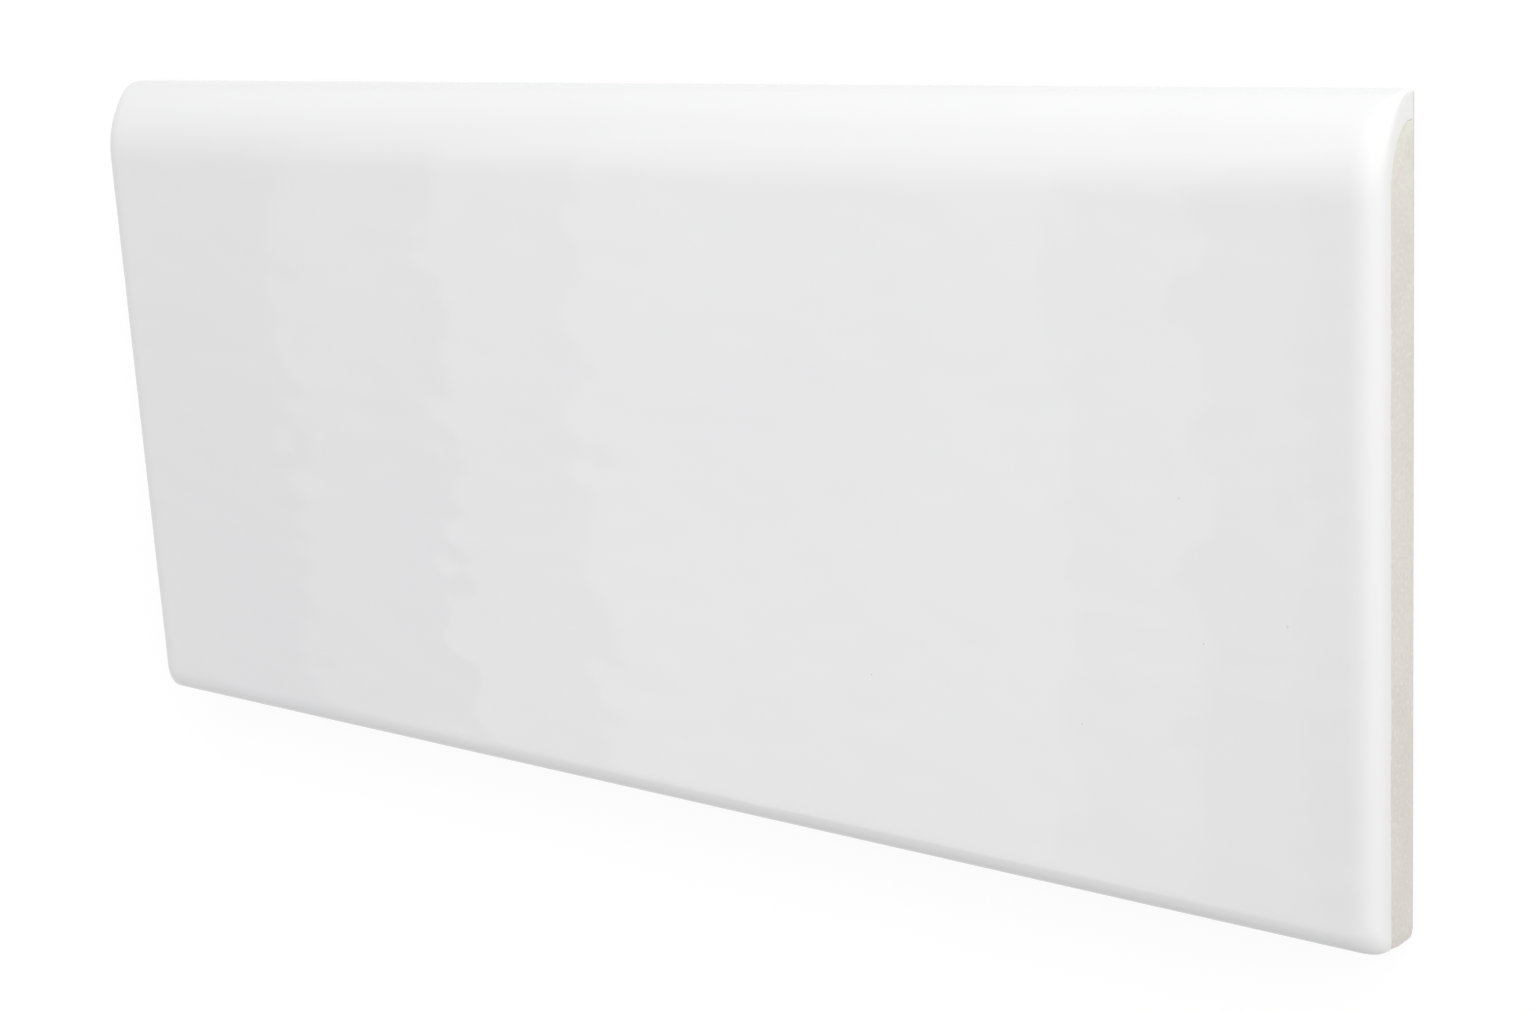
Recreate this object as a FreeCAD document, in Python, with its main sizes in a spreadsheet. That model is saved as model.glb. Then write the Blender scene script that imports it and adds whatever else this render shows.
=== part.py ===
import FreeCAD, Part
import math
import os
import Sketcher

# A glazed ceramic wall tile with one long edge rounded over, pressed and fired as one piece.
# It lies on its back. X runs along its length, Y across it with the bullnose at +Y, and Z from
# the back to the glazed face. The origin is the middle of the back. Sizes are in millimetres.

SIZES = (
    ("length", 150.0, "length along the bullnose"),
    ("width", 70.0, "width from the square edge to the bullnose"),
    ("thickness", 7.0, "thickness from the back to the glazed face"),
    ("nose_drop", 8.0, "how far the bullnose reaches across the face"),
    ("nose_land", 1.2, "flat that is left behind the bullnose"),
    ("edge_round", 1.8, "radius of the glazed edges round the face"),
    ("back_ease", 0.5, "radius round the edge of the back"),
    ("key_rim", 6.0, "plain border round the keyed back"),
    ("key_rib", 3.0, "width of the ribs between the key recesses"),
    ("key_depth", 0.6, "depth of the key recesses"),
    ("key_round", 1.5, "corner radius of the key recesses"),
    ("key_draft", 25.0, "slope of the recess walls, in degrees"),
    ("key_columns", 10, "key recesses along the length"),
    ("key_rows", 5, "key recesses across the width"),
)

# What the border and the ribs leave for one key recess
RECESS_LENGTH = "(dims.length - 2 * dims.key_rim - (dims.key_columns - 1) * dims.key_rib) / dims.key_columns"
RECESS_WIDTH = "(dims.width - 2 * dims.key_rim - (dims.key_rows - 1) * dims.key_rib) / dims.key_rows"

NODE = "bullnose_tile"
ON_PLANE = 1e-4

# Numbers that a sketch uses for the start, end and centre of its lines and arcs, and for its origin
START = 1
END = 2
CENTRE = 3
ORIGIN = -1


def make_sheet(doc):
    """Puts the driving dimensions in a sheet, one row each, with an alias to refer to them by."""
    sheet = doc.addObject("Spreadsheet::Sheet", "dims")
    for row, (name, size, meaning) in enumerate(SIZES, 1):
        sheet.set(f"A{row}", meaning)
        sheet.set(f"B{row}", str(size))
        sheet.setAlias(f"B{row}", name)
    doc.recompute()
    return sheet


def origin_feature(body, role):
    """The body's own origin plane or axis of this role."""
    return next(feature for feature in body.Origin.OriginFeatures if feature.Role == role)


def add_sketch(body, name, plane):
    """A sketch on one of the body's origin planes."""
    sketch = body.newObject("Sketcher::SketchObject", name)
    sketch.AttachmentSupport = [(origin_feature(body, plane), "")]
    sketch.MapMode = "FlatFace"
    return sketch


def constrain(sketch, kind, *where):
    return sketch.addConstraint(Sketcher.Constraint(kind, *where))


def bind(sketch, name, expression, kind, *where):
    """Adds a named dimension to a sketch and ties it to an expression."""
    size = float(sketch.evalExpression(expression))
    index = constrain(sketch, kind, *where, size)
    sketch.renameConstraint(index, name)
    sketch.setExpression(f"Constraints.{name}", expression)


def point(x, y):
    return FreeCAD.Vector(x, y, 0)


def line(x0, y0, x1, y1):
    return Part.LineSegment(point(x0, y0), point(x1, y1))


def nose_arc(centre, drop, depth):
    """A quarter ellipse from the land up to the face, with its longer half axis given first."""
    if drop >= depth:
        ellipse = Part.Ellipse(centre, drop, depth)
        return Part.ArcOfEllipse(ellipse, 0, math.pi / 2)
    ellipse = Part.Ellipse(centre + point(0, depth), centre + point(drop, 0), centre)
    return Part.ArcOfEllipse(ellipse, -math.pi / 2, 0)


def draw_section(body, sheet):
    """The tile's section: flat back, square edge, glazed face, bullnose and the land behind it."""
    half_width = sheet.get("width") / 2
    face = sheet.get("thickness")
    drop = sheet.get("nose_drop")
    land = sheet.get("nose_land")
    sketch = add_sketch(body, "section", "YZ_Plane")
    back, edge, front, nose, rear = sketch.addGeometry([
        line(-half_width, 0, half_width, 0),
        line(-half_width, 0, -half_width, face),
        line(-half_width, face, half_width - drop, face),
        nose_arc(point(half_width - drop, land), drop, face - land),
        line(half_width, land, half_width, 0),
    ])
    constrain(sketch, "Coincident", back, START, edge, START)
    constrain(sketch, "Coincident", edge, END, front, START)
    constrain(sketch, "Tangent", front, END, nose, END)
    constrain(sketch, "Coincident", nose, START, rear, START)
    constrain(sketch, "Coincident", rear, END, back, END)
    constrain(sketch, "Horizontal", back)
    constrain(sketch, "Horizontal", front)
    constrain(sketch, "Vertical", edge)
    constrain(sketch, "Vertical", rear)
    constrain(sketch, "Vertical", nose, CENTRE, nose, END)
    constrain(sketch, "Horizontal", nose, CENTRE, nose, START)
    constrain(sketch, "Symmetric", back, START, back, END, ORIGIN, START)
    bind(sketch, "across", "dims.width", "DistanceX", back, START, back, END)
    bind(sketch, "through", "dims.thickness", "DistanceY", edge, START, edge, END)
    bind(sketch, "drop", "dims.nose_drop", "DistanceX", nose, CENTRE, nose, START)
    bind(sketch, "land", "dims.nose_land", "DistanceY", rear, END, rear, START)
    return sketch


def add_blank(body, sheet):
    """The tile as it would be with sharp edges: its section drawn out along the length."""
    blank = body.newObject("PartDesign::Pad", "blank")
    blank.Profile = draw_section(body, sheet)
    blank.SideType = "Symmetric"
    blank.setExpression("Length", "dims.length")
    return blank


def add_fillet(body, name, base, radius, wanted):
    """Rounds the edges of the base feature that the wanted function picks."""
    body.Document.recompute()
    edges = [f"Edge{index}" for index, edge in enumerate(base.Shape.Edges, 1) if wanted(edge)]
    fillet = body.newObject("PartDesign::Fillet", name)
    fillet.Base = (base, edges)
    fillet.setExpression("Radius", radius)
    return fillet


def add_roundings(body, sheet, blank):
    """Rounds the edges that the glaze runs over, then eases the back.

    The glazed edges are the ends of the face and the bullnose, and the face's square edge. The
    upright corners below the square edge stay sharp, as they leave the press.
    """
    end = sheet.get("length") / 2
    side = -sheet.get("width") / 2

    def on_back(edge):
        return edge.BoundBox.ZMax < ON_PLANE

    def is_glazed(edge):
        box = edge.BoundBox
        on_end = abs(abs(box.XMin + box.XMax) / 2 - end) < ON_PLANE
        on_side = box.YMax < side + ON_PLANE
        return on_end != on_side and not on_back(edge)

    glazed = add_fillet(body, "glazed_edges", blank, "dims.edge_round", is_glazed)
    return add_fillet(body, "eased_back", glazed, "dims.back_ease", on_back)


def draw_recess(body, sheet):
    """One key recess, a rectangle with rounded corners, at the -X and -Y corner of the back."""
    sketch = add_sketch(body, "recess_outline", "XY_Plane")
    radius = sheet.get("key_round")
    x0 = sheet.get("key_rim") - sheet.get("length") / 2
    y0 = sheet.get("key_rim") - sheet.get("width") / 2
    x1 = x0 + float(sketch.evalExpression(RECESS_LENGTH))
    y1 = y0 + float(sketch.evalExpression(RECESS_WIDTH))
    sides = sketch.addGeometry([
        line(x0 + radius, y0, x1 - radius, y0),
        line(x1, y0 + radius, x1, y1 - radius),
        line(x1 - radius, y1, x0 + radius, y1),
        line(x0, y1 - radius, x0, y0 + radius),
    ])
    low, right, high, left = sides
    middles = (
        point(x1 - radius, y0 + radius),
        point(x1 - radius, y1 - radius),
        point(x0 + radius, y1 - radius),
        point(x0 + radius, y0 + radius),
    )
    upright = FreeCAD.Vector(0, 0, 1)
    corners = []
    for index, middle in enumerate(middles):
        begin = (index - 1) * math.pi / 2
        arc = Part.ArcOfCircle(Part.Circle(middle, upright, radius), begin, begin + math.pi / 2)
        corner = sketch.addGeometry(arc)
        constrain(sketch, "Tangent", sides[index], END, corner, START)
        constrain(sketch, "Tangent", corner, END, sides[(index + 1) % len(sides)], START)
        corners.append(corner)
    for corner in corners[1:]:
        constrain(sketch, "Equal", corners[0], corner)
    constrain(sketch, "Horizontal", low)
    constrain(sketch, "Horizontal", high)
    constrain(sketch, "Vertical", right)
    constrain(sketch, "Vertical", left)
    bind(sketch, "corner", "dims.key_round", "Radius", corners[0])
    bind(sketch, "along", RECESS_LENGTH, "DistanceX", left, START, right, START)
    bind(sketch, "across", RECESS_WIDTH, "DistanceY", low, START, high, START)
    bind(sketch, "end_rim", "dims.length / 2 - dims.key_rim", "DistanceX", left, START, ORIGIN, START)
    bind(sketch, "side_rim", "dims.width / 2 - dims.key_rim", "DistanceY", low, START, ORIGIN, START)
    return sketch


def add_keys(body, sheet):
    """Presses the key recesses into the back, in rows and columns."""
    recess = body.newObject("PartDesign::Pocket", "recess")
    recess.Profile = draw_recess(body, sheet)
    recess.Reversed = True
    recess.setExpression("Length", "dims.key_depth")
    recess.setExpression("TaperAngle", "-dims.key_draft")
    body.Document.recompute()
    keys = body.newObject("PartDesign::LinearPattern", "keys")
    keys.Originals = [recess]
    keys.Direction = (origin_feature(body, "X_Axis"), [""])
    keys.Direction2 = (origin_feature(body, "Y_Axis"), [""])
    keys.setExpression("Occurrences", "dims.key_columns")
    keys.setExpression("Occurrences2", "dims.key_rows")
    keys.setExpression("Length", f"(dims.key_columns - 1) * ({RECESS_LENGTH} + dims.key_rib)")
    keys.setExpression("Length2", f"(dims.key_rows - 1) * ({RECESS_WIDTH} + dims.key_rib)")
    body.Tip = keys
    return recess


def check(doc, body, uncut, recess):
    """Stops if a feature failed, the solid is unsound or a recess is missing."""
    for item in doc.Objects:
        if "Invalid" in item.State or "Error" in item.State:
            raise RuntimeError(f"{item.Label} failed: {item.State}")
    shape = body.Shape
    if shape.isNull() or not shape.isValid() or len(shape.Solids) != 1:
        raise RuntimeError("the tile isn't one sound solid")
    one_recess = uncut.Shape.Volume - recess.Shape.Volume
    all_recesses = uncut.Shape.Volume - shape.Volume
    if one_recess <= 0 or all_recesses <= one_recess:
        raise RuntimeError("the key recesses cut nothing")


def main():
    doc = FreeCAD.newDocument("tile")
    sheet = make_sheet(doc)
    body = doc.addObject("PartDesign::Body", "body")
    body.Label = NODE
    blank = add_blank(body, sheet)
    eased = add_roundings(body, sheet, blank)
    recess = add_keys(body, sheet)
    doc.recompute()
    check(doc, body, eased, recess)
    os.makedirs("parts", exist_ok=True)
    body.Shape.exportStep(f"parts/{body.Label}.step")
    print(body.Label, "volume in mm3:", round(body.Shape.Volume))


main()
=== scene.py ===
"""Looks of a white bullnose wall tile: a glossy glaze over a bare, dust-pressed biscuit.

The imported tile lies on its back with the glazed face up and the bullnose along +Y.
The mesh made here follows it, pressed back and all, and adds what the glazing and the firing leave: a glaze
skin that ends in a rounded, slightly wandering lip on the walls, softened corners and long shallow waves.
"""

import math
from collections import namedtuple

import bmesh
import bpy
import numpy as np
from mathutils import Matrix, Vector, noise


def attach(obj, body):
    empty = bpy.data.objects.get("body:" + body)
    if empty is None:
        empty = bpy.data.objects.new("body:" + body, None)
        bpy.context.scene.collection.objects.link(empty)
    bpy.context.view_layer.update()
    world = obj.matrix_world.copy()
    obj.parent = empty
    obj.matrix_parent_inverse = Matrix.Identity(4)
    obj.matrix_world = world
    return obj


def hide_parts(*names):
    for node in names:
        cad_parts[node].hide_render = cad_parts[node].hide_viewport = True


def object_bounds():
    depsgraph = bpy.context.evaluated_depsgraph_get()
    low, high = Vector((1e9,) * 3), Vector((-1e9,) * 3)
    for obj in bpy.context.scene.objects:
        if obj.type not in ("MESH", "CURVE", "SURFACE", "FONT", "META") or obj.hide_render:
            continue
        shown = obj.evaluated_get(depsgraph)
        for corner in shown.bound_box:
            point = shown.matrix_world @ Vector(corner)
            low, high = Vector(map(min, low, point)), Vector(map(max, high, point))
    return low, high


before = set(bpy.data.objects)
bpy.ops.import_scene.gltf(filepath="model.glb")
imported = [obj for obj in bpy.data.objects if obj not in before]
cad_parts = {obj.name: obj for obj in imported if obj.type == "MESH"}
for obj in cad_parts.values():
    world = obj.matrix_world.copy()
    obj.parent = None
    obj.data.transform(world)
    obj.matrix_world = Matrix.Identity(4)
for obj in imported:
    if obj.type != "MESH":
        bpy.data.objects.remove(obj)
cad_low, cad_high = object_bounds()

MM = 0.001

# The tile's own sizes, in millimetres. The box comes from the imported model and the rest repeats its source,
# apart from the easing round the back, which is a little smaller here.
LENGTH, WIDTH, THICKNESS = ((high - low) / MM for low, high in zip(cad_low, cad_high))
NOSE_DROP = 8.0
NOSE_LAND = 1.2
BACK_EASE = 0.4
KEY_RIM = 6.0
KEY_RIB = 3.0
KEY_DEPTH = 0.6
KEY_ROUND = 1.5
KEY_DRAFT_DEG = 25.0
KEY_COLUMNS = 10
KEY_ROWS = 5

# The glaze line on the walls, in millimetres: its depth below the face, which changes over a range of shares
# of the nose, how far it strays and over what lengths, its lip, and its height above the back, behind the
# nose.
GLAZE_DEPTH = 2.4
GLAZE_DEPTH_AT_NOSE = 2.3
GLAZE_DEPTH_RANGE = (0.0, 0.7)
GLAZE_WANDER = 0.12
WANDER_LENGTHS = (9.0, 2.6)
SHORT_WANDER_SHARE = 0.45
LIP_WIDTH = 0.14
LIP_HEIGHT = 0.12
REAR_SEAM_HEIGHT = 0.58

# The square side: how far its glaze stands back from its foot, in millimetres, and how soon the foot flares.
SIDE_SET_BACK = 0.4
FOOT_FLARE = 3.0

# The rounded edges of the face: how far in and down they reach, in millimetres, and how square their section
# is; how square their corners are in plan at the face, at the end of the rounding and at the glaze line, and
# how late they sharpen. The rounding of the ends shrinks to a share of itself over a range of the nose.
EDGE_SPREAD = 2.7
EDGE_DROP = 1.8
ROUND_POWER = 2.6
FACE_POWER = 2.0
EDGE_POWER = 7.0
WALL_POWER = 12.0
EDGE_SHARPENING = 4
WALL_SHARPENING = 2
NOSE_END_SHARE = 0.22
NOSE_END_RANGE = (0.42, 0.95)

# The waves and streaks in the glaze, in millimetres; the slice of the noise that gives the streaks; the share
# of both that is left at the foot of the nose; and the length over which the noise rises and falls once.
WAVE_HEIGHT = 0.012
WAVE_LENGTH = 26.0
STREAK_HEIGHT = 0.03
STREAK_LENGTH = 13.0
STREAK_WIDTH = 5.0
STREAK_SLICE = 7.0
NOSE_WAVINESS = 0.15
NOISE_PERIOD = 2.0

# How thin the glaze is, from 0 to 1: at the end of the rounding, at its line and at the foot of its lip.
THIN_AT_EDGE = 0.6
THIN_AT_LINE = 0.8
THIN_AT_LIP = 1.0

# The glaze mist on the bare walls: how strong it is, and over what range of y or z, in millimetres, it fades.
MIST_BY_NOSE = 0.75
MIST_NOSE_RANGE = (20.0, 31.0)
MIST_BY_BACK = 0.45
MIST_BACK_RANGE = (0.3, 1.7)

# How finely the mesh is divided, and the bend above which an edge is shaded sharp.
COLUMNS = 220
FACE_ROWS = 90
NOSE_ROWS = 26
ROUND_STEPS = 20
CORNER_STEPS = 12
BAND_STEPS = 4
LIP_STEPS = 5
WALL_STEPS = 6
EASE_STEPS = 4
SHARP_ANGLE_DEG = 38.0

# The grid lines over a key recess, in millimetres from the edge of its mouth: those by its walls, and the
# first of those on its floor.
KEY_WALL_LINES = (0.0, 0.07, 0.14, 0.21, 0.28, 0.5, 0.8, 1.15, 1.5)
KEY_FLOOR_START = 2.6
KEY_FLOOR_LINES = 5

# The places of the two materials on the mesh.
GLAZE = 0
BISCUIT = 1


def smooth_step(low, high, value):
    """0 below low, 1 above high, and a smooth rise between them."""
    share = np.clip((value - low) / (high - low), 0.0, 1.0)
    return share * share * (3.0 - 2.0 * share)


class Shell:
    """A mesh as it grows: points in millimetres with their finish, and faces with their material's place.

    The finish runs from 0 to 1: on glaze from its full coat to its thin edge, on biscuit from bare to misted.
    """

    def __init__(self):
        self.points = []
        self.finish = []
        self.faces = []
        self.materials = []

    def add(self, points, finish=0.0):
        """Takes points in any arrangement and gives their numbers in the same arrangement."""
        points = np.asarray(points, float)
        first = len(self.points)
        self.points.extend(points.reshape(-1, 3))
        self.finish.extend(np.broadcast_to(finish, points.shape[:-1]).ravel())
        return first + np.arange(points.size // 3).reshape(points.shape[:-1])

    def face(self, corners, material):
        """One face; a corner that repeats is dropped, so a squeezed quad becomes a triangle."""
        corners = list(dict.fromkeys(int(corner) for corner in corners))
        if len(corners) > 2:
            self.faces.append(corners)
            self.materials.append(material)

    def weave(self, rows, material):
        """Quads between neighbouring rows of point numbers."""
        for lower, upper in zip(rows[:-1], rows[1:]):
            for corners in zip(lower[:-1], lower[1:], upper[1:], upper[:-1]):
                self.face(corners, material)

    def weave_round(self, loops, material):
        """Quads between neighbouring closed loops of point numbers."""
        self.weave([np.append(loop, loop[0]) for loop in loops], material)

    def zip_loops(self, outer, inner, material):
        """Triangles between two closed loops that start side by side and run the same way round."""
        outer = list(outer) + [outer[0]]
        inner = list(inner) + [inner[0]]
        outer_end = len(outer) - 1
        inner_end = len(inner) - 1
        outer_at = 0
        inner_at = 0
        while outer_at < outer_end or inner_at < inner_end:
            if outer_at == outer_end:
                step_out = False
            elif inner_at == inner_end:
                step_out = True
            else:
                across_out = self.points[outer[outer_at + 1]] - self.points[inner[inner_at]]
                across_in = self.points[inner[inner_at + 1]] - self.points[outer[outer_at]]
                step_out = np.linalg.norm(across_out) < np.linalg.norm(across_in)
            if step_out:
                self.face((outer[outer_at], outer[outer_at + 1], inner[inner_at]), material)
                outer_at += 1
            else:
                self.face((outer[outer_at], inner[inner_at + 1], inner[inner_at]), material)
                inner_at += 1


Section = namedtuple("Section", "places normals along nose_share end_share waviness")


def section_rows():
    """The glazed outline in (y, z), from the square side of the face to the foot of the nose.

    Each row has its place, its outward normal, its length along the outline, the share of the nose passed,
    the share of the full rounding that the tile's ends have there, which tightens towards the foot of the
    nose, and the share of the glaze's full waves.
    """
    face_end = WIDTH / 2 - NOSE_DROP
    nose_height = THICKNESS - NOSE_LAND
    places = []
    normals = []
    nose_share = []
    for y in np.linspace(-WIDTH / 2 + SIDE_SET_BACK + EDGE_SPREAD, face_end, FACE_ROWS + 1):
        places.append((y, THICKNESS))
        normals.append((0.0, 1.0))
        nose_share.append(0.0)
    for share in np.arange(1, NOSE_ROWS + 1) / NOSE_ROWS:
        angle = share * math.pi / 2
        places.append((face_end + NOSE_DROP * math.sin(angle), NOSE_LAND + nose_height * math.cos(angle)))
        normals.append((math.sin(angle) / NOSE_DROP, math.cos(angle) / nose_height))
        nose_share.append(share)
    places.append((WIDTH / 2, REAR_SEAM_HEIGHT))
    normals.append((1.0, 0.0))
    nose_share.append(1.0)
    places = np.array(places)
    normals = np.array(normals)
    normals /= np.linalg.norm(normals, axis=1, keepdims=True)
    nose_share = np.array(nose_share)
    steps = np.linalg.norm(np.diff(places, axis=0), axis=1)
    along = places[0, 0] + np.append(0.0, np.cumsum(steps))
    end_share = 1.0 - (1.0 - NOSE_END_SHARE) * smooth_step(*NOSE_END_RANGE, nose_share)
    waviness = 1.0 - (1.0 - NOSE_WAVINESS) * nose_share
    return Section(places, normals, along, nose_share, end_share, waviness)


SECTION = section_rows()
ROWS = len(SECTION.places)
COLUMN_SHARES = np.linspace(-1.0, 1.0, COLUMNS + 1)
CORNER_POINTS = CORNER_STEPS - 1
MIDDLE_POINTS = COLUMNS + 1 + 2 * CORNER_POINTS
MIRROR_X = np.array((-1.0, 1.0, 1.0))


def along_rim(ends, side):
    """A value for each point of a rim line, from its values along an end and its one value along the side."""
    return np.concatenate([ends[::-1], np.full(MIDDLE_POINTS, side), ends])


def glaze_wave(x, along):
    """How far the fired glaze lies off the true surface, in millimetres: slow waves and finer streaks.

    The noise stays under 1, so the glaze never stands proud of the tile's true size.
    """
    slow = noise.noise(Vector((x, along, 0.0)) * (NOISE_PERIOD / WAVE_LENGTH))
    streak = noise.noise(Vector((x * NOISE_PERIOD / STREAK_LENGTH, along * NOISE_PERIOD / STREAK_WIDTH,
                                 STREAK_SLICE)))
    return WAVE_HEIGHT * (slow - 1.0) + STREAK_HEIGHT * (streak - 1.0)


def seam_wander(point):
    """How far the glaze line strays at a point of the wall, in millimetres."""
    long_length, short_length = WANDER_LENGTHS
    slow = noise.noise(Vector(point) * (NOISE_PERIOD / long_length))
    quick = noise.noise(Vector(point) * (NOISE_PERIOD / short_length))
    return GLAZE_WANDER * (slow + SHORT_WANDER_SHARE * quick)


def corner_arc(power):
    """Points and outward directions, in plan, round a corner of size 1, from the end to the square side.

    The corner is a superellipse: a power of 2 makes it round, and a high one nearly sharp.
    """
    angles = np.arange(1, CORNER_STEPS) / CORNER_STEPS * math.pi / 2
    across = np.cos(angles)
    along = np.sin(angles)
    radius = (across ** power + along ** power) ** (-1.0 / power)
    places = np.column_stack([across, along]) * radius[:, None]
    outward = places ** (power - 1.0)
    return places, outward / np.linalg.norm(outward, axis=1, keepdims=True)


def rim_ring(gap, inset, power):
    """One line of points round the left end, the square side and the right end of the tile.

    gap is how far the line lies inside the outer walls and inset how far below the glazed outline, point by
    point; power is how square its corners are.
    """
    def end(gap, inset):
        return np.column_stack([LENGTH / 2 - gap, SECTION.places - SECTION.normals * inset[:, None]])

    left = end(gap[:ROWS][::-1], inset[:ROWS][::-1])[::-1] * MIRROR_X
    right = end(gap[-ROWS:], inset[-ROWS:])
    size = EDGE_SPREAD - gap[ROWS]
    centre_x = LENGTH / 2 - EDGE_SPREAD
    centre_y = -WIDTH / 2 + SIDE_SET_BACK + EDGE_SPREAD
    arc, _ = corner_arc(power)
    corner = np.column_stack([centre_x + arc[:, 0] * size, centre_y - arc[:, 1] * size,
                              np.full(CORNER_POINTS, THICKNESS)])
    side = np.column_stack([COLUMN_SHARES * centre_x, np.full(COLUMNS + 1, centre_y - size),
                            np.full(COLUMNS + 1, THICKNESS)])
    middle = np.vstack([corner * MIRROR_X, side, corner[::-1]])
    middle[:, 2] -= inset[ROWS:-ROWS]
    return np.vstack([left, middle, right])


def edge_curve(turn):
    """How far out and how far up the rounded edge is, as shares of its size, at a share of its turn.

    The edge is a superellipse, so the face stays nearly flat longer than a plain round would let it.
    """
    angle = turn * math.pi / 2
    return math.sin(angle) ** (2.0 / ROUND_POWER), max(math.cos(angle), 0.0) ** (2.0 / ROUND_POWER)


def rim_normals(turn, power):
    """The outward directions along a rim line, for edges that have turned by a share of a right angle."""
    out, up = edge_curve(turn)
    angle = math.atan2(EDGE_DROP * out ** (ROUND_POWER - 1.0), EDGE_SPREAD * up ** (ROUND_POWER - 1.0))
    tilt = math.sin(angle)
    lean = math.cos(angle)
    end = np.column_stack([np.full(ROWS, tilt), SECTION.normals * lean])
    _, outward = corner_arc(power)
    corner = np.column_stack([outward[:, 0] * tilt, -outward[:, 1] * tilt, np.full(CORNER_POINTS, lean)])
    side = np.tile((0.0, -tilt, lean), (COLUMNS + 1, 1))
    return np.vstack([end[::-1] * MIRROR_X, corner * MIRROR_X, side, corner[::-1], end])


def glazed_face(shell):
    """The grid of points over the flat face and the nose."""
    grid = np.zeros((ROWS, COLUMNS + 1, 3))
    half_lengths = LENGTH / 2 - EDGE_SPREAD * SECTION.end_share
    for row, (place, normal, along) in enumerate(zip(SECTION.places, SECTION.normals, SECTION.along)):
        for column, x in enumerate(COLUMN_SHARES * half_lengths[row]):
            y, z = place + normal * glaze_wave(x, along) * SECTION.waviness[row]
            grid[row, column] = (x, y, z)
    grid = shell.add(grid)
    shell.weave(grid, GLAZE)
    return grid


def rim_waves(ring):
    """The waves of the glaze along a rim line."""
    along = np.concatenate([SECTION.along[::-1], ring[ROWS:-ROWS, 1], SECTION.along])
    waves = np.array([glaze_wave(x, place) for x, place in zip(ring[:, 0], along)])
    return waves * along_rim(SECTION.waviness, 1.0)


def glazed_edges(shell, grid):
    """The rounded edges from the face down to the glaze line, as lines of points with their turn."""
    rings = [np.concatenate([grid[::-1, 0], np.repeat(grid[0, 0], CORNER_POINTS), grid[0],
                             np.repeat(grid[0, -1], CORNER_POINTS), grid[:, -1]])]
    turns = [0.0]
    share = along_rim(SECTION.end_share, 1.0)
    for turn in np.arange(1, ROUND_STEPS + 1) / ROUND_STEPS:
        out, up = edge_curve(turn)
        drop = EDGE_DROP * share * (1.0 - up)
        power = FACE_POWER + (EDGE_POWER - FACE_POWER) * turn ** EDGE_SHARPENING
        ring = rim_ring(EDGE_SPREAD * share * (1.0 - out), drop, power)
        lift = rim_normals(turn, power) * (rim_waves(ring) * (1.0 - turn))[:, None]
        rings.append(shell.add(ring + lift, THIN_AT_EDGE * turn))
        turns.append(turn)

    nose_change = smooth_step(*GLAZE_DEPTH_RANGE, SECTION.nose_share)
    ends = GLAZE_DEPTH + (GLAZE_DEPTH_AT_NOSE - GLAZE_DEPTH) * nose_change
    depth = along_rim(ends, GLAZE_DEPTH) + np.array([seam_wander(point) for point in ring])
    for step in np.arange(1, BAND_STEPS + 1) / BAND_STEPS:
        power = EDGE_POWER + (WALL_POWER - EDGE_POWER) * step ** WALL_SHARPENING
        band = rim_ring(np.zeros(len(drop)), drop + (depth - drop) * step, power)
        rings.append(shell.add(band, THIN_AT_EDGE + (THIN_AT_LINE - THIN_AT_EDGE) * step))
        turns.append(1.0)
    shell.weave(rings, GLAZE)
    return rings, turns


def glaze_line(grid, rings, turns):
    """The closed loop where the glaze ends, with the wall's outward directions and those to the bare body.

    The bare body lies inward on the ends, and below on the square side and behind the nose. The last point
    of each end, at the foot of the nose, has a way between the two.
    """
    last = rings[-1]
    to_body = np.tile((0.0, 0.0, -1.0), (len(last), 1))
    inward = np.column_stack([np.zeros(ROWS), -SECTION.normals])
    inward[-1] = np.array((0.0, -1.0, -1.0)) / math.sqrt(2.0)
    to_body[:ROWS] = inward[::-1]
    to_body[-ROWS:] = inward

    angles = np.array(turns[:-1]) * math.pi / 2
    right_out = np.column_stack([np.sin(angles), np.cos(angles), np.zeros(len(angles))])
    right = np.array([ring[-1] for ring in rings[:-1]])
    left = np.array([ring[0] for ring in rings[:-1]])
    rear = grid[-1, 1:-1][::-1]
    rear_out = np.tile((0.0, 1.0, 0.0), (len(rear), 1))
    loop = np.concatenate([last, right[::-1], rear, left])
    outward = np.vstack([rim_normals(1.0, WALL_POWER), right_out[::-1], rear_out, right_out * MIRROR_X])
    to_body = np.vstack([to_body, np.tile((0.0, 0.0, -1.0), (len(loop) - len(last), 1))])
    return loop, outward, to_body


def glaze_lip(shell, loop, outward, to_body):
    """The rounded edge of the glaze, from its line in to the bare body."""
    base = np.array([shell.points[number] for number in loop])
    loops = [loop]
    for step in np.arange(1, LIP_STEPS + 1) / LIP_STEPS:
        angle = step * math.pi / 2
        curl = to_body * (LIP_WIDTH * math.sin(angle)) - outward * (LIP_HEIGHT * (1.0 - math.cos(angle)))
        loops.append(shell.add(base + curl, THIN_AT_LINE + (THIN_AT_LIP - THIN_AT_LINE) * step))
    shell.weave_round(loops, GLAZE)
    return loops[-1]


def overspray(points):
    """How much glaze mist lies on the bare wall at each point: most by the nose, some by the back edge."""
    near_nose = smooth_step(*MIST_NOSE_RANGE, points[:, 1])
    near_back = 1.0 - smooth_step(*MIST_BACK_RANGE, points[:, 2])
    return np.clip(MIST_BY_NOSE * near_nose + MIST_BY_BACK * near_back, 0.0, 1.0)


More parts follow.
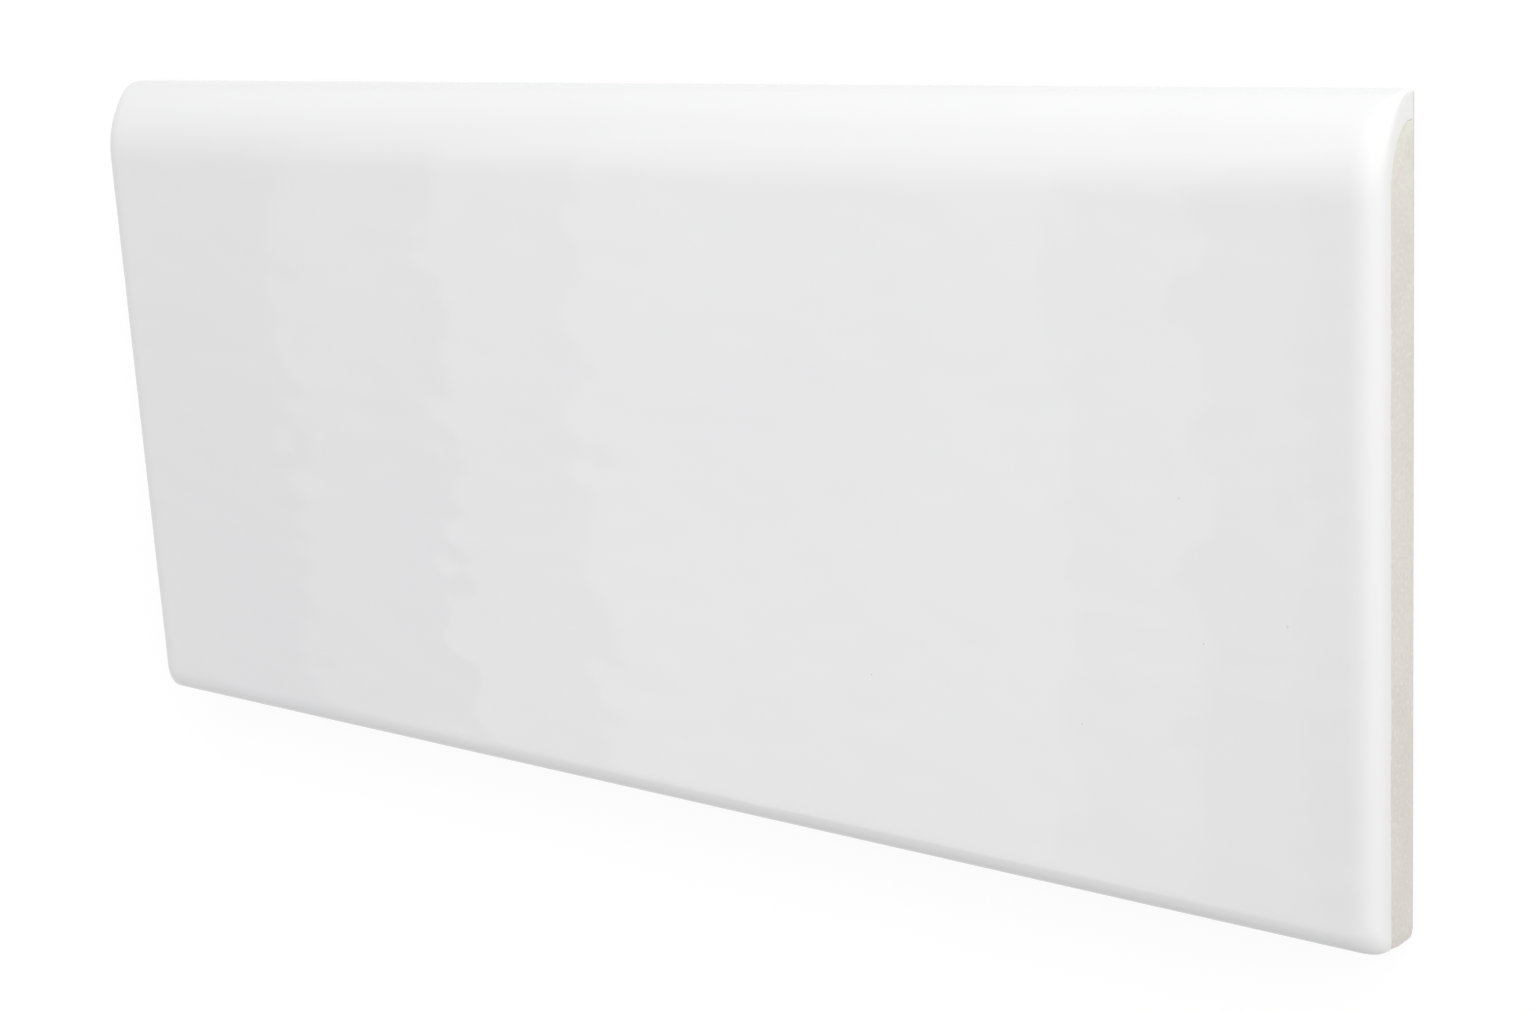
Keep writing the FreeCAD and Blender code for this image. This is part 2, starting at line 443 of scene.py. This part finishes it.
def bare_walls(shell, foot, outward):
    """The biscuit walls down to the eased back edge, and their last loop at z = 0.

    They widen from the glaze's lip to the back, most on the square side, and not behind the nose.
    """
    top = np.array([shell.points[number] for number in foot])
    top_loop = shell.add(top, overspray(top))
    low = top + outward * (1.0 - np.clip(outward[:, 1:2], 0.0, 1.0)) * LIP_HEIGHT
    low[:, 1] -= SIDE_SET_BACK * np.clip(-outward[:, 1], 0.0, 1.0)
    low[:, 2] = BACK_EASE
    ring_points = 2 * ROWS + MIDDLE_POINTS
    nose = np.flatnonzero(SECTION.nose_share > 0.0)
    for place in (ROWS - 1 - nose, ring_points - ROWS + nose):
        low[place, 1] = np.linspace(top[place[0], 1], top[place[-1], 1], len(place))
    loops = [top_loop]
    for step in np.arange(1, WALL_STEPS + 1) / WALL_STEPS:
        spread = 1.0 - (1.0 - step) ** FOOT_FLARE
        points = top + (low - top) * (spread, spread, step)
        loops.append(shell.add(points, overspray(points)))

    for step in np.arange(1, EASE_STEPS + 1) / EASE_STEPS:
        angle = step * math.pi / 2
        points = low - outward * (BACK_EASE * (1.0 - math.cos(angle)))
        points[:, 2] = BACK_EASE * (1.0 - math.sin(angle))
        loops.append(shell.add(points, overspray(points) * (1.0 - step)))
    shell.weave_round(loops, BISCUIT)
    return loops[-1]


def key_lines(count, mouth):
    """Grid lines over a row of pressed recesses: close together on their walls, far apart on their floors."""
    near = np.array(KEY_WALL_LINES)
    floor = np.linspace(KEY_FLOOR_START, mouth - KEY_FLOOR_START, KEY_FLOOR_LINES)
    inside = np.concatenate([near, floor, mouth - near[::-1]])
    pitch = mouth + KEY_RIB
    span = count * pitch - KEY_RIB
    return np.concatenate([inside + step * pitch - span / 2 for step in range(count)])


def key_depth(x, y, mouth_x, mouth_y):
    """How deep the press has sunk the back at a point, in millimetres."""
    pitch_x = mouth_x + KEY_RIB
    pitch_y = mouth_y + KEY_RIB
    from_x = (x + KEY_COLUMNS * pitch_x / 2) % pitch_x - pitch_x / 2
    from_y = (y + KEY_ROWS * pitch_y / 2) % pitch_y - pitch_y / 2
    over_x = abs(from_x) - mouth_x / 2 + KEY_ROUND
    over_y = abs(from_y) - mouth_y / 2 + KEY_ROUND
    outside = math.hypot(max(over_x, 0.0), max(over_y, 0.0)) + min(max(over_x, over_y), 0.0) - KEY_ROUND
    wall = KEY_DEPTH * math.tan(math.radians(KEY_DRAFT_DEG))
    return KEY_DEPTH * float(smooth_step(0.0, 1.0, -outside / wall))


def pressed_back(shell, edge):
    """The back: a flat lattice of ribs round rows of shallow recesses that key the adhesive."""
    mouth_x = (LENGTH - 2 * KEY_RIM - (KEY_COLUMNS - 1) * KEY_RIB) / KEY_COLUMNS
    mouth_y = (WIDTH - 2 * KEY_RIM - (KEY_ROWS - 1) * KEY_RIB) / KEY_ROWS
    xs = key_lines(KEY_COLUMNS, mouth_x)
    ys = key_lines(KEY_ROWS, mouth_y)
    grid = shell.add([[(x, y, key_depth(x, y, mouth_x, mouth_y)) for x in xs] for y in ys])
    shell.weave(grid, BISCUIT)
    border = np.concatenate([grid[::-1, 0], grid[0, 1:], grid[1:, -1], grid[-1, -2:0:-1]])
    shell.zip_loops(edge, border, BISCUIT)


def tile_mesh(name):
    """The whole tile as one mesh.

    Where the glaze meets the bare body there are two points at each place, one for either's finish, so the
    mesh is closed once points at the same place are joined.
    """
    shell = Shell()
    grid = glazed_face(shell)
    rings, turns = glazed_edges(shell, grid)
    loop, outward, to_body = glaze_line(grid, rings, turns)
    foot = glaze_lip(shell, loop, outward, to_body)
    edge = bare_walls(shell, foot, outward)
    pressed_back(shell, edge)

    mesh = bpy.data.meshes.new(name)
    mesh.from_pydata([Vector(point) * MM for point in shell.points], [], shell.faces)
    mesh.polygons.foreach_set("material_index", shell.materials)
    mesh.polygons.foreach_set("use_smooth", [True] * len(shell.faces))
    mesh.attributes.new("finish", "FLOAT", "POINT").data.foreach_set("value", shell.finish)
    work = bmesh.new()
    work.from_mesh(mesh)
    bmesh.ops.recalc_face_normals(work, faces=work.faces)
    for seam in work.edges:
        seam.smooth = seam.calc_face_angle(0.0) < math.radians(SHARP_ANGLE_DEG)
    work.to_mesh(mesh)
    work.free()
    return mesh


def add_node(tree, kind, settings=None, **inputs):
    """A node with its settings made and its inputs linked from a socket or set to a value.

    An input is named by its label, with _ for a space, or by its number, as in _0.
    """
    node = tree.nodes.new(kind)
    for key, value in (settings or {}).items():
        setattr(node, key, value)
    for key, value in inputs.items():
        socket = node.inputs[int(key[1:]) if key[1:].isdigit() else key.replace("_", " ")]
        if isinstance(value, bpy.types.NodeSocket):
            tree.links.new(value, socket)
        else:
            socket.default_value = value
    return node


def empty_tree(owner):
    """The node tree of a material or a world, with nothing in it."""
    owner.use_nodes = True
    owner.node_tree.nodes.clear()
    return owner.node_tree


def new_material(name):
    """A material with one Principled shader on its output."""
    material = bpy.data.materials.new(name)
    tree = empty_tree(material)
    shader = add_node(tree, "ShaderNodeBsdfPrincipled")
    add_node(tree, "ShaderNodeOutputMaterial", Surface=shader.outputs["BSDF"])
    return material, tree, shader


def noise_value(tree, place, scale, detail):
    """Soft noise round a half; scale is in lumps to the metre."""
    return add_node(tree, "ShaderNodeTexNoise", Vector=place, Scale=scale, Detail=detail).outputs["Fac"]


def ramp(tree, value, low, high, to_low=0.0, to_high=1.0):
    """A value carried smoothly from one range to another, and held beyond its ends."""
    return add_node(tree, "ShaderNodeMapRange", {"interpolation_type": "SMOOTHSTEP"}, Value=value,
                    From_Min=low, From_Max=high, To_Min=to_low, To_Max=to_high).outputs["Result"]


def combine(tree, operation, first, second):
    """Two values put together by one operation."""
    return add_node(tree, "ShaderNodeMath", {"operation": operation}, _0=first, _1=second).outputs[0]


def blend(tree, share, first, second):
    """A colour between two, each a colour or the output of another node."""
    first, second = ((*colour, 1.0) if isinstance(colour, tuple) else colour for colour in (first, second))
    return add_node(tree, "ShaderNodeMix", {"data_type": "RGBA"}, _0=share, _6=first, _7=second).outputs[2]


def surface_values(tree):
    """Where a point of the surface is, in metres, and its finish from 0 to 1."""
    place = add_node(tree, "ShaderNodeTexCoord").outputs["Object"]
    finish = add_node(tree, "ShaderNodeAttribute", {"attribute_name": "finish"}).outputs["Fac"]
    return place, finish


# The pinholes on the face, in millimetres: their places, radius and fully dark share of it.
PINHOLES = ((48.1, -18.7), (59.8, -9.8), (67.3, -7.3), (26.2, -17.6), (57.8, 2.3))
PINHOLE_RADIUS = 0.14
PINHOLE_CORE = 0.3


def pinholes(tree, place):
    """1 in the few burst bubbles of the glaze, whose hollows are shown by painted shade, and 0 elsewhere."""
    marks = 0.0
    for x, y in PINHOLES:
        middle = (x * MM, y * MM, THICKNESS * MM)
        off = add_node(tree, "ShaderNodeVectorMath", {"operation": "DISTANCE"}, _0=place, _1=middle)
        mark = ramp(tree, off.outputs["Value"], PINHOLE_RADIUS * MM, PINHOLE_CORE * PINHOLE_RADIUS * MM)
        marks = combine(tree, "MAXIMUM", marks, mark)
    return marks


# The colours of the glaze's two faint clouds, its thin edge and the painted shade in its pinholes, how strong
# that painted shade is, what the thin edge adds to the roughness, the height of the orange peel in
# millimetres, and how much the glaze bends light.
GLAZE_COOL = (0.796, 0.796, 0.802)
GLAZE_WARM = (0.806, 0.806, 0.804)
GLAZE_THIN = (0.80, 0.797, 0.762)
PINHOLE_SHADE = (0.36, 0.34, 0.31)
PINHOLE_SHADE_STRENGTH = 0.4
THIN_ROUGHNESS = 0.06
PEEL_HEIGHT = 0.0015
GLAZE_IOR = 1.5


def white_glaze():
    """Glossy white glaze: faint clouds, a warmer thin edge, pinholes in painted shade and a fine orange peel.
    """
    material, tree, shader = new_material("white_glaze")
    place, finish = surface_values(tree)
    clouds = ramp(tree, noise_value(tree, place, scale=24.0, detail=3.0), low=0.3, high=0.7)
    colour = blend(tree, clouds, GLAZE_COOL, GLAZE_WARM)
    thin = ramp(tree, finish, low=0.15, high=1.0)
    colour = blend(tree, thin, colour, GLAZE_THIN)
    # The pinholes are darkened with painted shade, standing in for their hollows.
    pinhole_shade = combine(tree, "MULTIPLY", pinholes(tree, place), PINHOLE_SHADE_STRENGTH)
    colour = blend(tree, pinhole_shade, colour, PINHOLE_SHADE)
    tree.links.new(colour, shader.inputs["Base Color"])

    smear = noise_value(tree, place, scale=90.0, detail=4.0)
    gloss = ramp(tree, smear, low=0.35, high=0.7, to_low=0.02, to_high=0.045)
    roughness = combine(tree, "ADD", gloss, combine(tree, "MULTIPLY", thin, THIN_ROUGHNESS))
    tree.links.new(roughness, shader.inputs["Roughness"])
    peel = noise_value(tree, place, scale=650.0, detail=2.0)
    bump = add_node(tree, "ShaderNodeBump", Height=peel, Distance=PEEL_HEIGHT * MM)
    tree.links.new(bump.outputs["Normal"], shader.inputs["Normal"])
    shader.inputs["IOR"].default_value = GLAZE_IOR
    return material


# The biscuit's patches, its grain, and what lies in and on it: iron, kiln wash and glaze mist. Heights are in
# millimetres.
BISCUIT_PALE = (0.712, 0.681, 0.643)
BISCUIT_DEEP = (0.685, 0.647, 0.603)
GRAIN_DARK = (0.63, 0.58, 0.53)
GRAIN_PALE = (0.84, 0.81, 0.77)
GRAIN_STRENGTH = 0.5
GRAIN_HEIGHT = 0.04
GRAIN_BUMP = 0.6
IRON = (0.33, 0.22, 0.15)
IRON_STRENGTH = 0.6
SPECK_CORE = 0.5
WASH = (0.83, 0.81, 0.78)
WASH_FULL_HEIGHT = 0.02
WASH_END_HEIGHT = 0.12
MIST = (0.735, 0.735, 0.665)


def specks(tree, place, scale, radius, share):
    """1 in small round specks, one in a share of the cells that the surface falls into, and 0 elsewhere."""
    cells = add_node(tree, "ShaderNodeTexVoronoi", Vector=place, Scale=scale)
    near = ramp(tree, cells.outputs["Distance"], radius, SPECK_CORE * radius)
    chance = add_node(tree, "ShaderNodeSeparateColor", Color=cells.outputs["Color"]).outputs[0]
    return combine(tree, "MULTIPLY", near, combine(tree, "LESS_THAN", chance, share))


def bare_body(tree, place, grain):
    """The colour of the fired body: pale and deep patches, grain and iron specks."""
    patches = ramp(tree, noise_value(tree, place, scale=190.0, detail=3.0), low=0.3, high=0.7)
    colour = blend(tree, patches, BISCUIT_PALE, BISCUIT_DEEP)
    dark = ramp(tree, grain, low=0.5, high=0.75, to_high=GRAIN_STRENGTH)
    colour = blend(tree, dark, colour, GRAIN_DARK)
    pale = ramp(tree, grain, low=0.45, high=0.3, to_high=GRAIN_STRENGTH)
    colour = blend(tree, pale, colour, GRAIN_PALE)
    iron = specks(tree, place, scale=650.0, radius=0.09, share=0.12)
    return blend(tree, combine(tree, "MULTIPLY", iron, IRON_STRENGTH), colour, IRON)


def kiln_wash(tree, place):
    """How much wash from the kiln's shelf sticks to the ribs of the back, in cloudy patches."""
    height = add_node(tree, "ShaderNodeSeparateXYZ", Vector=place).outputs["Z"]
    on_ribs = ramp(tree, height, WASH_END_HEIGHT * MM, WASH_FULL_HEIGHT * MM)
    clouds = noise_value(tree, place, scale=240.0, detail=5.0)
    patches = ramp(tree, clouds, low=0.4, high=0.62, to_low=0.1, to_high=0.75)
    return combine(tree, "MULTIPLY", on_ribs, patches)


def glaze_mist(tree, place, mist):
    """How much stray glaze lies on the body, broken up finely."""
    drops = noise_value(tree, place, scale=1100.0, detail=3.0)
    cover = ramp(tree, drops, low=0.35, high=0.65, to_low=0.35, to_high=1.0)
    return combine(tree, "MULTIPLY", mist, cover)


def biscuit():
    """Bare fired body: matt and a little pink, with kiln wash on the back and glaze mist by the nose."""
    material, tree, shader = new_material("biscuit")
    place, mist = surface_values(tree)
    grain = noise_value(tree, place, scale=2600.0, detail=4.0)
    colour = bare_body(tree, place, grain)
    colour = blend(tree, kiln_wash(tree, place), colour, WASH)
    dusting = glaze_mist(tree, place, mist)
    colour = blend(tree, dusting, colour, MIST)
    tree.links.new(colour, shader.inputs["Base Color"])
    roughness = ramp(tree, dusting, low=0.0, high=1.0, to_low=0.92, to_high=0.6)
    tree.links.new(roughness, shader.inputs["Roughness"])
    bump = add_node(tree, "ShaderNodeBump", Height=grain, Strength=GRAIN_BUMP, Distance=GRAIN_HEIGHT * MM)
    tree.links.new(bump.outputs["Normal"], shader.inputs["Normal"])
    return material


def make_tile():
    """The glazed tile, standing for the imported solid."""
    mesh = tile_mesh("glazed_tile")
    mesh.materials.append(white_glaze())
    mesh.materials.append(biscuit())
    tile = bpy.data.objects.new("glazed_tile", mesh)
    bpy.context.scene.collection.objects.link(tile)
    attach(tile, "root")
    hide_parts("bullnose_tile")


# The stage, in metres. Floor and sky have one level to the eye and in reflections, and a lower one as light.
FLOOR_SIZE = 6.0
FLOOR_GAP = 0.00005
FLOOR_COLOUR = (0.2, 0.2, 0.2, 1.0)
FLOOR_SEEN = 0.84
FLOOR_BOUNCE = 0.27
SKY_COLOUR = (0.988, 0.988, 1.0, 1.0)
SKY_SEEN = 1.0
SKY_LEVEL = 0.56


def stage_level(tree, as_light, as_seen):
    """One level for soft light, another for rays from the camera and those mirrored or let through."""
    path = add_node(tree, "ShaderNodeLightPath")
    seen = combine(tree, "MAXIMUM", path.outputs["Is Camera Ray"], path.outputs["Is Glossy Ray"])
    seen = combine(tree, "MAXIMUM", seen, path.outputs["Is Transmission Ray"])
    return add_node(tree, "ShaderNodeMapRange", Value=seen, To_Min=as_light, To_Max=as_seen).outputs[0]


def make_floor():
    """A plain white floor that still takes the tile's soft shadow, and throws some light on its walls."""
    half = FLOOR_SIZE / 2
    corners = [(x, y, -FLOOR_GAP) for x, y in ((-half, -half), (half, -half), (half, half), (-half, half))]
    mesh = bpy.data.meshes.new("floor")
    mesh.from_pydata(corners, [], [(0, 1, 2, 3)])
    material = bpy.data.materials.new("floor_white")
    tree = empty_tree(material)
    matt = add_node(tree, "ShaderNodeBsdfDiffuse", Color=FLOOR_COLOUR)
    glow = add_node(tree, "ShaderNodeEmission", Strength=stage_level(tree, FLOOR_BOUNCE, FLOOR_SEEN))
    both = add_node(tree, "ShaderNodeAddShader", _0=matt.outputs[0], _1=glow.outputs[0])
    add_node(tree, "ShaderNodeOutputMaterial", Surface=both.outputs[0])
    mesh.materials.append(material)
    floor = bpy.data.objects.new("floor", mesh)
    bpy.context.scene.collection.objects.link(floor)


def make_world():
    """White to the eye and in reflections, and a dimmer even light on everything."""
    world = bpy.data.worlds.new("studio")
    tree = empty_tree(world)
    sky = add_node(tree, "ShaderNodeBackground", Color=SKY_COLOUR,
                   Strength=stage_level(tree, SKY_LEVEL, SKY_SEEN))
    add_node(tree, "ShaderNodeOutputWorld", Surface=sky.outputs[0])
    bpy.context.scene.world = world


# The lights, in metres. Each box overhead has its name, place, width, length along Y and brightness.
OVERHEAD_BOXES = (
    ("overhead_wide", (-0.47, 0.06, 0.6), 0.50, 1.16, 0.32),
    ("overhead_middle", (-0.455, -0.03, 0.62), 0.37, 0.98, 0.46),
    ("overhead_core", (-0.455, -0.16, 0.64), 0.24, 0.72, 0.37),
)
TILE_MIDDLE = (0.0, 0.0, 0.0)
PLAIN_WHITE = (1.0, 1.0, 1.0)
WARM_WHITE = (1.0, 0.995, 0.97)


def soft_box(name, place, aim, width, height, brightness, colour=PLAIN_WHITE, mirrored=True):
    """A rectangular soft light; brightness is what its surface would show as, 1 being white.

    A light that isn't mirrored leaves no picture of itself in the glaze.
    """
    lamp = bpy.data.lights.new(name, "AREA")
    lamp.shape = "RECTANGLE"
    lamp.size = width
    lamp.size_y = height
    lamp.energy = brightness * width * height * math.pi
    lamp.color = colour
    box = bpy.data.objects.new(name, lamp)
    box.location = place
    box.visible_camera = False
    box.visible_glossy = mirrored
    box.rotation_euler = (Vector(aim) - Vector(place)).to_track_quat("-Z", "Y").to_euler()
    bpy.context.scene.collection.objects.link(box)


def make_lights():
    """Three boxes high on the left, which the face mirrors, one behind the nose and one low on the right.

    The three lie one above the other, from wide to narrow, so that their reflection brightens in steps. Boxes
    at one height would hide each other in it. They reach past the nose by different lengths, so that their
    ends draw no hard line along it.
    """
    for name, place, width, length, brightness in OVERHEAD_BOXES:
        below = (place[0], place[1], 0.0)
        soft_box(name, place, below, width, length, brightness)
    soft_box("behind_nose", (0.27, 0.4, 0.2), TILE_MIDDLE, width=0.9, height=0.30, brightness=2.45,
             mirrored=False)
    soft_box("low_right", (0.68, 0.22, 0.17), TILE_MIDDLE, width=0.9, height=0.34, brightness=1.45,
             colour=WARM_WHITE, mirrored=False)


# The camera, in millimetres. The picture is taken to be the photograph's 1535 by 1012 pixels, and the shift
# of its middle is in those.
CAMERA_PLACE = (156.8, 55.2, 188.5)
CAMERA_AIM = (8.33, 0.64, 7.0)
CAMERA_ROLL_DEG = -3.565
CAMERA_LENS = 60.46
CAMERA_SENSOR = 36.0
CAMERA_NEAREST = 10.0
PICTURE_WIDTH = 1535
PRINCIPAL_POINT_SHIFT = (-62.4, -45.5)


def make_camera():
    """The photograph's view: its place, roll, lens and small shift of the picture's middle."""
    data = bpy.data.cameras.new("camera")
    data.sensor_width = CAMERA_SENSOR
    data.lens = CAMERA_LENS
    data.shift_x = -PRINCIPAL_POINT_SHIFT[0] / PICTURE_WIDTH
    data.shift_y = PRINCIPAL_POINT_SHIFT[1] / PICTURE_WIDTH
    data.clip_start = CAMERA_NEAREST * MM
    camera = bpy.data.objects.new("camera", data)
    place = Vector(CAMERA_PLACE) * MM
    back = (place - Vector(CAMERA_AIM) * MM).normalized()
    right = Vector((0.0, 1.0, 0.0)).cross(back).normalized()
    turn = Matrix((right, back.cross(right), back)).transposed()
    roll = Matrix.Rotation(math.radians(CAMERA_ROLL_DEG), 3, "Z")
    camera.matrix_world = Matrix.Translation(place) @ (turn @ roll).to_4x4()
    bpy.context.scene.collection.objects.link(camera)
    bpy.context.scene.camera = camera


make_tile()
make_floor()
make_world()
make_lights()
make_camera()
bpy.context.scene.view_settings.view_transform = "Standard"
